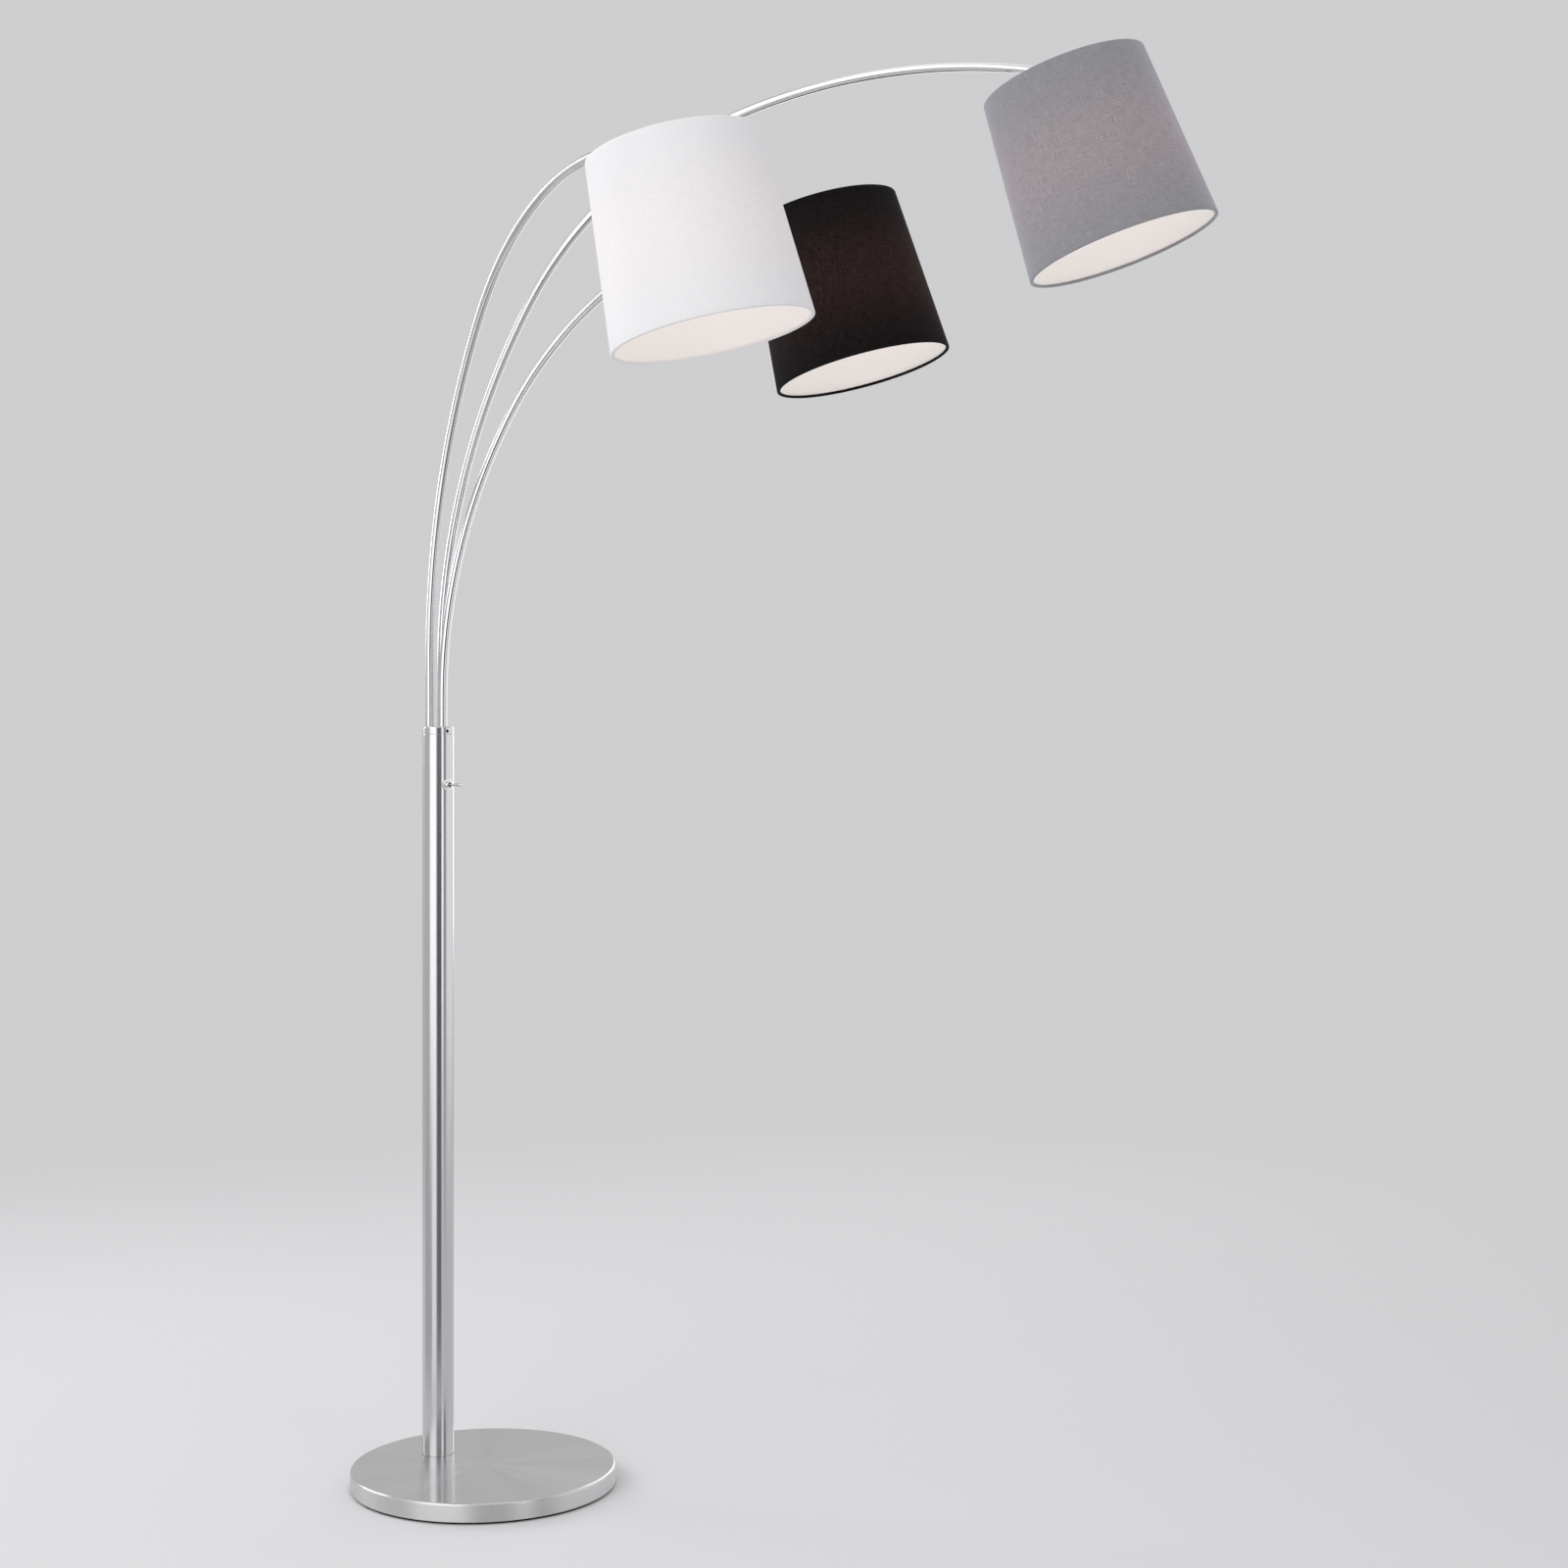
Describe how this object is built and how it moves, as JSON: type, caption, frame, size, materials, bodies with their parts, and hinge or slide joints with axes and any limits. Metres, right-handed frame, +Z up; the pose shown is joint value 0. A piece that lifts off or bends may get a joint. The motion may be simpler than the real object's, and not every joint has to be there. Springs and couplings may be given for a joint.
{
  "type": "arc floor lamp",
  "caption": "Arc floor lamp: curved steel arms swing in the cap of a round column on a disc base, each with a tilting fabric drum shade",
  "frame": {"origin": "centre of the round base, on the floor", "axes": "+Z up, +X from the column's axis towards the base's centre, which is the side the arms reach to, +Y to the left of +X"},
  "size_m": [1.0249, 0.7141, 1.7314],
  "materials": {
    "base_pad_rubber": "matt",
    "weight_iron": "cast, unpainted",
    "base_steel": "circular brushed, satin",
    "grommet_rubber": "matt",
    "fastener_steel": "plain bright zinc",
    "plug_aluminium": "turned",
    "column_steel": "brushed along its length, satin",
    "cap_steel": "turned, satin",
    "plate_steel": "plain",
    "switch_plastic": "moulded",
    "switch_nickel": "bright nickel",
    "arm_steel": "satin, drawn",
    "collar_brass": "turned",
    "knuckle_steel": "turned, satin",
    "holder_cap_paint": "white enamel",
    "holder_plastic": "moulded, white",
    "fitter_paint": "white enamel",
    "white_fabric": "fine woven, white",
    "grey_fabric": "fine woven, mid grey",
    "black_fabric": "fine woven, black",
    "shade_lining": "smooth white film",
    "bulb_metal": "screw cap",
    "bulb_glass": "frosted"
  },
  "bodies": {
    "stand": {"base_pad": "base_pad_rubber", "base_weight": "weight_iron", "base_cover": "base_steel", "cord_grommet": "grommet_rubber", "column_washer": "fastener_steel", "column_bolt": "fastener_steel", "foot_plug": "plug_aluminium", "column_tube": "column_steel", "column_cap": "cap_steel", "set_screws": "fastener_steel", "retainer_plate": "plate_steel", "retainer_screw": "fastener_steel", "switch_body": "switch_plastic", "switch_nut": "switch_nickel"},
    "lever": {"switch_lever": "switch_nickel"},
    "white_arm": {"white_arm_tube": "arm_steel", "white_arm_collar": "collar_brass", "white_knuckle_fork": "knuckle_steel", "white_knuckle_screw": "fastener_steel"},
    "white_head": {"white_knuckle_tongue": "knuckle_steel", "white_holder_cap": "holder_cap_paint", "white_lampholder": "holder_plastic", "white_shade_ring": "holder_plastic", "white_shade_fitter": "fitter_paint", "white_top_rim": "fitter_paint", "white_mouth_rim": "fitter_paint", "white_shade_fabric": "white_fabric", "white_shade_lining": "shade_lining", "white_bulb_cap": "bulb_metal", "white_bulb_glass": "bulb_glass"},
    "grey_arm": {"grey_arm_tube": "arm_steel", "grey_arm_collar": "collar_brass", "grey_knuckle_fork": "knuckle_steel", "grey_knuckle_screw": "fastener_steel"},
    "grey_head": {"grey_knuckle_tongue": "knuckle_steel", "grey_holder_cap": "holder_cap_paint", "grey_lampholder": "holder_plastic", "grey_shade_ring": "holder_plastic", "grey_shade_fitter": "fitter_paint", "grey_top_rim": "fitter_paint", "grey_mouth_rim": "fitter_paint", "grey_shade_fabric": "grey_fabric", "grey_shade_lining": "shade_lining", "grey_bulb_cap": "bulb_metal", "grey_bulb_glass": "bulb_glass"},
    "black_arm": {"black_arm_tube": "arm_steel", "black_arm_collar": "collar_brass", "black_knuckle_fork": "knuckle_steel", "black_knuckle_screw": "fastener_steel"},
    "black_head": {"black_knuckle_tongue": "knuckle_steel", "black_holder_cap": "holder_cap_paint", "black_lampholder": "holder_plastic", "black_shade_ring": "holder_plastic", "black_shade_fitter": "fitter_paint", "black_top_rim": "fitter_paint", "black_mouth_rim": "fitter_paint", "black_shade_fabric": "black_fabric", "black_shade_lining": "shade_lining", "black_bulb_cap": "bulb_metal", "black_bulb_glass": "bulb_glass"}
  },
  "joints": [
    {"name": "white_swing", "type": "hinge", "parent": "stand", "child": "white_arm", "pos_m": [-0.09025, -0.00844, 0.95], "axis": [0, 0, 1], "range_deg": [-15, 15]},
    {"name": "white_tilt", "type": "hinge", "parent": "white_arm", "child": "white_head", "pos_m": [0.44852, -0.14577, 1.58297], "axis": [-0.2772, -0.9471, -0.1619], "range_deg": [-12, 25]},
    {"name": "grey_swing", "type": "hinge", "parent": "stand", "child": "grey_arm", "pos_m": [-0.08819, 0.00963, 0.95], "axis": [0, 0, 1], "range_deg": [-15, 15]},
    {"name": "grey_tilt", "type": "hinge", "parent": "grey_arm", "child": "grey_head", "pos_m": [0.68884, 0.2621, 1.70297], "axis": [0.2885, -0.953, -0.0931], "range_deg": [-18, 25]},
    {"name": "black_swing", "type": "hinge", "parent": "stand", "child": "black_arm", "pos_m": [-0.07357, -0.00119, 0.95], "axis": [0, 0, 1], "range_deg": [-15, 10]},
    {"name": "black_tilt", "type": "hinge", "parent": "black_arm", "child": "black_head", "pos_m": [0.27504, 0.33312, 1.61697], "axis": [0.6873, -0.7229, 0.0702], "range_deg": [-5, 25]},
    {"name": "switch_toggle", "type": "hinge", "parent": "stand", "child": "lever", "pos_m": [-0.06313, -0.00238, 0.876], "axis": [0, 0, 1], "range_deg": [-24, 0]}
  ]
}
